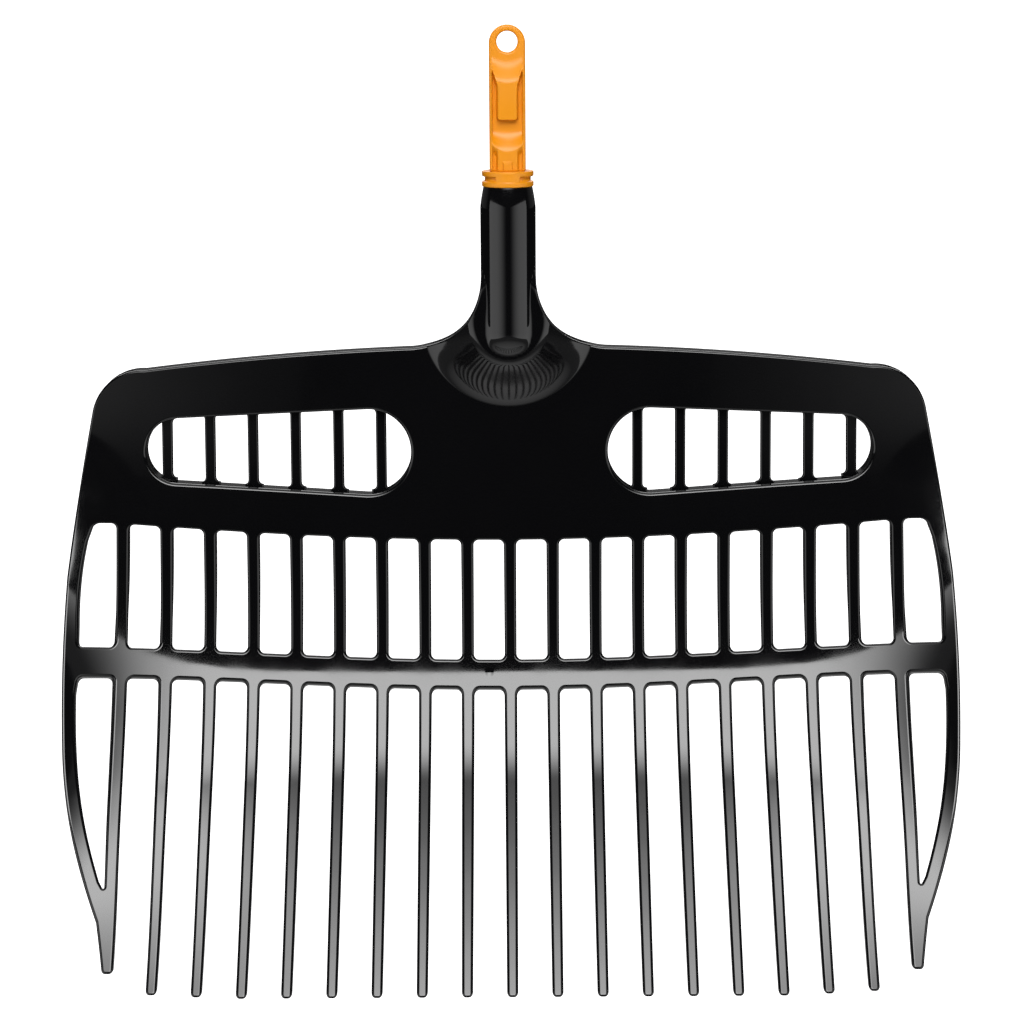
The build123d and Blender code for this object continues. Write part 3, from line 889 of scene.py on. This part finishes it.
def rib_mesh(number):
    """A back rib that follows the blade's curve and crosses the hand slot where there is one."""
    shell = Shell()
    x = number * TINE_PITCH
    low_z = bowed(LOWER_EDGE_Z, x) - RIB_OVERLAP
    high_z = TOP_EDGE_Z - x * x / (2 * TOP_EDGE_RADIUS) - RIB_TOP_GAP
    if abs(number) <= HUB_RIBS:
        high_z = HUB_RIB_TOP_Z
    slot = slot_span(abs(x)) if abs(number) in SLOT_RIBS else (0.0, 0.0)
    heights = set(np.linspace(low_z, high_z, 28))
    for end, sign in zip(slot, (1, -1)):
        if slot[1] < 0:
            heights.update(end + sign * step for step in SLOT_RIB_STEPS)
    starts = []
    for z in sorted(heights):
        inside = slot[0] - SLOT_RIB_LAP < z < slot[1] + SLOT_RIB_LAP and slot[1] < 0
        width = SLOT_RIB_WIDTH if inside else BACK_RIB_WIDTH
        front = SLOT_RIB_FRONT if inside else SKIN - 1.0
        if inside:
            gap = min(z - slot[0], slot[1] - z)
            round_part = np.clip(1.0 - max(gap, 0.0) / SLOT_RIB_FILLET, 0.0, 1.0)
            width += 2 * SLOT_RIB_FILLET * (1 - math.sqrt(1 - round_part ** 2))
        taper = np.clip((z - low_z) / RIB_TAPER, 0.0, 1.0)
        back = BAR_DEPTH - 1.0 + (RIB_DEPTH - BAR_DEPTH + 1.0) * taper
        offsets, normals = rounded_section(width, back - front, RIB_ROUND)
        at_x, at_z = np.array([x]), np.array([z])
        surface = lifted(base_y, at_x, at_z, np.array([(front + back) / 2]))[0]
        facing = -front_normal(base_y, at_x, at_z)[0]
        across = np.array([1.0, 0.0, 0.0])
        points = surface + offsets[:, :1] * across + offsets[:, 1:] * facing
        starts.append(shell.add(points, normals[:, :1] * across + normals[:, 1:] * facing))
    size = len(offsets)
    shell.tube(starts, size)
    shell.cap(starts[0], size, flip=True)
    shell.cap(starts[-1], size)
    return shell


# ------------------------------------ the orange handle adapter
def adapter_height(x, z):
    """How far the adapter's face stands out from its middle plane."""
    side = np.abs(x)
    bent = z - SLOPE_BEND * (side / ADAPTER_HALF_WIDTH) ** 2
    swell = step_between(bent, SLOPE_TOP_Z, SLOPE_END_Z) ** SLOPE_POWER
    walls = RING_HEIGHT + (BLOCK_HEIGHT - RING_HEIGHT) * swell
    walls = walls - WALL_DROP * step_between(z, *WALL_DROP_Z) * step_between(side, *WALL_DROP_X)
    past_side = np.maximum(side - BLOCK_HALF_WIDTH + BLOCK_ROUND, 0.0)
    corner = np.hypot(past_side, np.maximum(BLOCK_END_Z + BLOCK_ROUND - z, 0.0))
    block = step_between(side, BLOCK_HALF_WIDTH + BLOCK_FADE, BLOCK_HALF_WIDTH - BLOCK_FADE)
    block = np.minimum(block, step_between(corner, BLOCK_ROUND + 0.5, BLOCK_ROUND - 0.5))
    beside_block = z > BLOCK_END_Z - 0.6
    ramp_end = RAMP_END_Z + RAMP_BEND * (side / RAMP_HALF_WIDTH) ** 2
    ramp = (PANEL_HEIGHT - CHANNEL_HEIGHT) * step_between(z, RAMP_TOP_Z, ramp_end) ** RAMP_POWER
    bottom = CHANNEL_HEIGHT + np.where(beside_block, 0.0, ramp)
    carved = bottom + (BLOCK_HEIGHT - bottom) * block * beside_block
    slant = RECESS_SLANT * (WALL_INNER - side)
    recess = step_between(side, *RECESS_INNER) * step_between(side, *RECESS_OUTER)
    recess = recess * step_between(z, RECESS_Z[0] - slant, RECESS_Z[1] - slant)
    key = step_between(side, KEY_HALF_WIDTH + 0.5, KEY_HALF_WIDTH - 0.3)
    key = key * step_between(z, KEY_TOP_Z + 0.5, KEY_TOP_Z - 0.5)
    carved = carved - RECESS_DEPTH * recess + KEY_HEIGHT * key
    top = CHANNEL_TOP_Z + CHANNEL_RISE * step_between(side, CHANNEL_INNER, CHANNEL_OUTER)
    in_hollow = step_between(z, top + CHANNEL_FADE, top - CHANNEL_FADE)
    in_hollow = in_hollow * step_between(side, WALL_OUTER, WALL_INNER)
    return walls * (1 - in_hollow) + carved * in_hollow


def adapter_seeds(loops):
    """Inner points of the adapter's face: an even grid with a finer one over the key."""
    rows = np.arange(ADAPTER_END_Z + 0.2, RING_Z + ADAPTER_HALF_WIDTH, 0.4)
    seeds = grid(np.arange(-10.5, 10.51, 0.35), rows)
    near_key = (np.abs(seeds[:, 0]) < KEY_HALF_WIDTH + 1.0) & (seeds[:, 1] < KEY_TOP_Z + 1.0)
    key_rows = np.arange(ADAPTER_END_Z + 0.4, KEY_TOP_Z + 0.9, 0.17)
    seeds = np.concatenate([seeds[~near_key], grid(np.linspace(-3.5, 3.5, 43), key_rows)])
    seeds = seeds[inside_all(seeds, loops)]
    return seeds[far_from_loops(seeds, loops, 0.3)]


def adapter_outline():
    """The tongue's outline: straight sides under a round ring."""
    top = circle_arc((0.0, RING_Z), ADAPTER_HALF_WIDTH, 0.0, math.pi, 0.6)
    corners = [(ADAPTER_HALF_WIDTH, ADAPTER_END_Z, ADAPTER_CORNER)]
    corners += [(x, z, 0.0) for x, z in top]
    return rounded(corners + [(-ADAPTER_HALF_WIDTH, ADAPTER_END_Z, ADAPTER_CORNER)])


def adapter_mesh():
    """The orange tongue and hang ring, the same at front and back."""
    shell = Shell()
    hole = circle_arc((0.0, HOLE_Z), HOLE_RADIUS, 0.0, 2 * math.pi, 0.5)[:-1]
    outlines = [(adapter_outline(), False, EDGE_ROUND), (hole, True, HOLE_ROUND)]
    loops = []
    front_starts = []
    back_starts = []
    angles = np.linspace(0, math.pi / 2, 6)
    for outline, is_hole, radius in outlines:
        points = subdivided(outline, 0.9)
        if signed_area(points) < 0:
            points = points[::-1]
        inward = into_material(points, is_hole)
        size = len(points)
        starts = []
        for side in (-1.0, 1.0):
            ordered = angles if side < 0 else angles[::-1]
            for angle in ordered:
                offset = radius * (1 - math.sin(angle))
                px, pz = points.T + inward.T * offset
                py = side * (adapter_height(px, pz) - radius * (1 - math.cos(angle)))
                ring = np.stack([px, py, pz], -1)
                normal = np.stack([
                    -inward[:, 0] * math.sin(angle),
                    np.full(size, side * math.cos(angle)),
                    -inward[:, 1] * math.sin(angle),
                ], -1)
                starts.append(shell.add(ring, normal))
        shell.tube(starts, size, flip=not is_hole)
        loops.append(points + inward * radius)
        front_starts.append(starts[0])
        back_starts.append(starts[-1])
    seeds = adapter_seeds(loops)
    x, z = seeds.T
    gx, gz = gradient(adapter_height, x, z)
    for starts, side in ((front_starts, -1.0), (back_starts, 1.0)):
        normals = unit(np.stack([-gx, np.full(len(x), side), -gz], -1))
        first = shell.add(np.stack([x, side * adapter_height(x, z), z], -1), normals)
        stitch(shell, loops, starts, seeds, first, side > 0)
    return shell


def collar_mesh(sides=144):
    """Two flanges with a groove between them that is filled at front and back."""
    shell = Shell()
    profile = COLLAR_UPPER + COLLAR_LOWER
    angles = np.linspace(0, 2 * math.pi, sides, endpoint=False)
    from_front = np.abs(np.abs(angles - math.pi) - math.pi / 2)
    bridge = step_between(from_front, math.radians(30.0), math.radians(27.0))
    slope = unit(np.gradient(np.array(profile), axis=0))
    starts = []
    for (radius, z), (dr, dz) in zip(profile, slope):
        filled = bridge if COLLAR_BRIDGE_Z[0] < z < COLLAR_BRIDGE_Z[1] else np.zeros(sides)
        radii = radius + (COLLAR_BRIDGE - radius) * filled
        ring = np.stack([radii * np.cos(angles), radii * np.sin(angles), np.full(sides, z)], -1)
        out = -dz * (1 - filled) + filled
        up = dr * (1 - filled)
        normal = np.stack([out * np.cos(angles), out * np.sin(angles), up], -1)
        starts.append(shell.add(ring, normal))
    shell.tube(starts, sides, flip=True)
    shell.cap(starts[0], sides)
    shell.cap(starts[-1], sides, flip=True)
    return shell


def lathe(profile, plain_below, sides=96):
    """A closed round piece about the Z axis from (radius, z) points, top first.

    Below plain_below the normals are those of a plain cylinder.
    """
    shell = Shell()
    radii, heights = np.array(profile).T
    slope = unit(np.gradient(np.array(profile), axis=0))
    slope[heights < plain_below] = (0.0, -1.0)
    angles = np.linspace(0, 2 * math.pi, sides, endpoint=False)
    starts = []
    for radius, height, (dr, dz) in zip(radii, heights, slope):
        ring = np.stack([radius * np.cos(angles), radius * np.sin(angles), np.full(sides, height)], -1)
        normal = np.stack([-dz * np.cos(angles), -dz * np.sin(angles), np.full(sides, dr)], -1)
        starts.append(shell.add(ring, normal))
    shell.tube(starts, sides, flip=True)
    top = shell.add(np.array([[0.0, 0.0, heights[0]]]), np.array([[0.0, 0.0, 1.0]]))
    bottom = shell.add(np.array([[0.0, 0.0, heights[-1]]]), np.array([[0.0, 0.0, -1.0]]))
    for i in range(sides):
        j = (i + 1) % sides
        shell.faces.append((top, starts[0] + i, starts[0] + j))
        shell.faces.append((bottom, starts[-1] + j, starts[-1] + i))
    return shell


def socket_profile():
    """The socket's lip, its drawn-in shoulder, the tube and the end hidden in the moulding."""
    turns = np.linspace(0, math.pi / 2, 7)
    top = [(0.5, TUBE_TOP_Z), (LIP_RADIUS - 1.65, TUBE_TOP_Z)]
    for t in turns:
        top.append((LIP_RADIUS + LIP_ROUND * math.sin(t), SHOULDER_TOP_Z + LIP_ROUND * math.cos(t)))
    shoulder = []
    for t in np.linspace(0, 1, 25)[1:]:
        inset = SHOULDER_INSET * (1 - t) ** SHOULDER_POWER
        shoulder.append((TUBE_RADIUS - inset, SHOULDER_TOP_Z - SHOULDER_HEIGHT * t))
    tube = [(TUBE_RADIUS, z) for z in np.linspace(SHOULDER_END_Z - 1.0, TUBE_END_Z, 17)]
    hidden = [(TUBE_RADIUS - 0.6, TUBE_END_Z - 3.0), (TUBE_RADIUS - 3.0, TUBE_END_Z - 9.0)]
    hidden += [(13.0, TUBE_END_Z - 11.0), (0.5, TUBE_END_Z - 11.0)]
    return top + shoulder + tube + hidden


# ------------------------------------ the pieces
moulding = moulding_mesh().object("head_moulding", BLACK)
socket = lathe(socket_profile(), SHOULDER_END_Z).object("head_socket", BLACK)
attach(socket, "root")
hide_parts("socket_tube")
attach(moulding, "root")
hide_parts(*BLACK_NODES)

for number in range(-OUTER_TINE, OUTER_TINE + 1):
    side = "middle" if number == 0 else f"{'right' if number > 0 else 'left'}_{abs(number)}"
    rib = rib_mesh(number).object(f"back_rib_{side}", BLACK)
    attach(rib, "root")

adapter = adapter_mesh().object("adapter_tongue", ORANGE)
collar = collar_mesh().object("adapter_collar", ORANGE)
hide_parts("handle_adapter")
for piece in (adapter, collar):
    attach(piece, "root")

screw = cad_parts["retaining_screw"]
screw.data.materials.clear()
screw.data.materials.append(STEEL)

# ------------------------------------ stage, light and camera
FLOOR_Z = -0.75
WHITE = 1.6
SOFTBOX_DISTANCE = 2.0
SOFTBOX_ELEVATION = math.radians(42.0)
CROSS_BAR = (0.0, -0.03, -0.34)
CAMERA_ELEVATION = math.radians(12.0)
CAMERA_ROLL = math.radians(0.35)
FOCAL_PIXELS = 2505.0
PICTURE_PIXELS = 1024
SHIFT_PIXELS = 2.2
CAMERA_PLACE = Vector((0.0, -1.5535, 0.1150))


def add_camera():
    """The camera that frames the whole head from the front."""
    data = bpy.data.cameras.new("camera")
    data.sensor_width = 36.0
    data.lens = FOCAL_PIXELS / PICTURE_PIXELS * data.sensor_width
    data.shift_x = SHIFT_PIXELS / PICTURE_PIXELS
    camera = bpy.data.objects.new("camera", data)
    camera.location = CAMERA_PLACE
    tilt = Matrix.Rotation(math.pi / 2 - CAMERA_ELEVATION, 3, "X")
    camera.rotation_euler = (tilt @ Matrix.Rotation(-CAMERA_ROLL, 3, "Z")).to_euler()
    bpy.context.scene.collection.objects.link(camera)
    bpy.context.scene.camera = camera


def softbox_place(along):
    """A point on the softbox's slanted plane, a distance up or down from its middle."""
    level = math.cos(SOFTBOX_ELEVATION)
    upright = math.sin(SOFTBOX_ELEVATION)
    y = CROSS_BAR[1] - SOFTBOX_DISTANCE * level + along * upright
    return (0.0, y, CROSS_BAR[2] + SOFTBOX_DISTANCE * upright + along * level)


def panel(name, place, target, size_x, size_y, radiance, fades=()):
    """A rectangular light; each fade is (axis, start, end, strength before, strength after)."""
    data = bpy.data.lights.new(name, "AREA")
    data.shape = "RECTANGLE"
    data.size = size_x
    data.size_y = size_y
    data.energy = radiance * math.pi * size_x * size_y
    if fades:
        data.use_nodes = True
        nodes = data.node_tree.nodes
        links = data.node_tree.links
        where = nodes.new("ShaderNodeNewGeometry")
        split = nodes.new("ShaderNodeSeparateXYZ")
        links.new(where.outputs["Parametric"], split.inputs["Vector"])
        last = None
        for axis, start, end, low, high in fades:
            across = ranged(nodes, links, split.outputs[axis], start, end, low, high, "SMOOTHSTEP")
            if last:
                both = nodes.new("ShaderNodeMath")
                both.operation = "MULTIPLY"
                links.new(last, both.inputs[0])
                links.new(across, both.inputs[1])
                across = both.outputs["Value"]
            last = across
        links.new(last, nodes["Emission"].inputs["Strength"])
    light = bpy.data.objects.new(name, data)
    light.location = place
    light.rotation_euler = (Vector(target) - Vector(place)).to_track_quat("-Z", "Y").to_euler()
    bpy.context.scene.collection.objects.link(light)


def white_when_seen(tree, shading, glow_kind, output_name):
    """Shows plain white to the camera, and the given shading to reflections and light."""
    seen = tree.nodes.new(glow_kind)
    seen.inputs["Strength"].default_value = WHITE
    ray = tree.nodes.new("ShaderNodeLightPath")
    mix = tree.nodes.new("ShaderNodeMixShader")
    tree.links.new(ray.outputs["Is Camera Ray"], mix.inputs["Fac"])
    tree.links.new(shading, mix.inputs[1])
    tree.links.new(seen.outputs[0], mix.inputs[2])
    tree.links.new(mix.outputs["Shader"], tree.nodes[output_name].inputs["Surface"])


def add_world(front, behind):
    """White for the camera; for reflections dark in front of the object and lighter behind it."""
    world = bpy.data.worlds.new("studio")
    bpy.context.scene.world = world
    world.use_nodes = True
    nodes = world.node_tree.nodes
    links = world.node_tree.links
    paint = nodes["Background"]
    paint.inputs["Color"].default_value = (1.0, 1.0, 1.0, 1.0)
    where = nodes.new("ShaderNodeTexCoord")
    split = nodes.new("ShaderNodeSeparateXYZ")
    links.new(where.outputs["Generated"], split.inputs["Vector"])
    strength = ranged(nodes, links, split.outputs["Y"], 0.05, 0.35, front, behind)
    links.new(strength, paint.inputs["Strength"])
    shading = paint.outputs["Background"]
    white_when_seen(world.node_tree, shading, "ShaderNodeBackground", "World Output")


def add_floor():
    """A wide plain floor, white when seen, with a soft glow near the object for its reflections."""
    mesh = bpy.data.meshes.new("floor")
    left, right, near, far = -30.0, 30.0, -3.0, 60.0
    corners = [(left, near, FLOOR_Z), (right, near, FLOOR_Z), (right, far, FLOOR_Z), (left, far, FLOOR_Z)]
    mesh.from_pydata(corners, [], [(0, 1, 2, 3)])
    floor = bpy.data.objects.new("floor", mesh)
    bpy.context.scene.collection.objects.link(floor)
    material = bpy.data.materials.new("pale_floor")
    material.use_nodes = True
    nodes = material.node_tree.nodes
    links = material.node_tree.links
    shader = nodes["Principled BSDF"]
    shader.inputs["Base Color"].default_value = (0.12, 0.12, 0.12, 1.0)
    shader.inputs["Roughness"].default_value = 0.9
    shader.inputs["Emission Color"].default_value = (1.0, 1.0, 1.0, 1.0)
    where = nodes.new("ShaderNodeTexCoord")
    reach = nodes.new("ShaderNodeVectorMath")
    reach.operation = "LENGTH"
    links.new(where.outputs["Object"], reach.inputs[0])
    glow = ranged(nodes, links, reach.outputs["Value"], 0.8, 1.2, 0.75, 0.0)
    links.new(glow, shader.inputs["Emission Strength"])
    shading = shader.outputs["BSDF"]
    white_when_seen(material.node_tree, shading, "ShaderNodeEmission", "Material Output")
    mesh.materials.append(material)


add_camera()
add_floor()
bpy.context.scene.view_settings.view_transform = "Standard"
add_world(0.01, 0.12)
FADE_UP = ("Y", 0.62, 0.98, 1.0, 0.16)
FADE_SIDES = [("X", 0.05, 0.46, 0.02, 1.0), ("X", 0.54, 0.95, 1.0, 0.02)]
panel("front_softbox", softbox_place(0.12), CROSS_BAR, 2.3, 1.24, 11.0, [FADE_UP] + FADE_SIDES)
panel("back_softbox", (0.0, 1.7, 1.0), (0.0, 0.0, -0.2), 2.6, 1.2, 3.0)
panel("top_softbox", (0.0, 0.1, 1.9), (0.0, 0.0, -0.3), 2.4, 1.2, 1.5)
LEFT_FADE = ("X", 0.35, 1.0, 1.0, 0.03)
RIGHT_FADE = ("X", 0.0, 0.65, 0.03, 1.0)
for name, side, fade in (("left", -1.0, LEFT_FADE), ("right", 1.0, RIGHT_FADE)):
    place = (side * 0.925, -1.1, -0.275)
    target = (side * 0.025, -0.475, -0.275)
    panel(f"{name}_panel", place, target, 2.2, 0.95, 1.4, [fade])

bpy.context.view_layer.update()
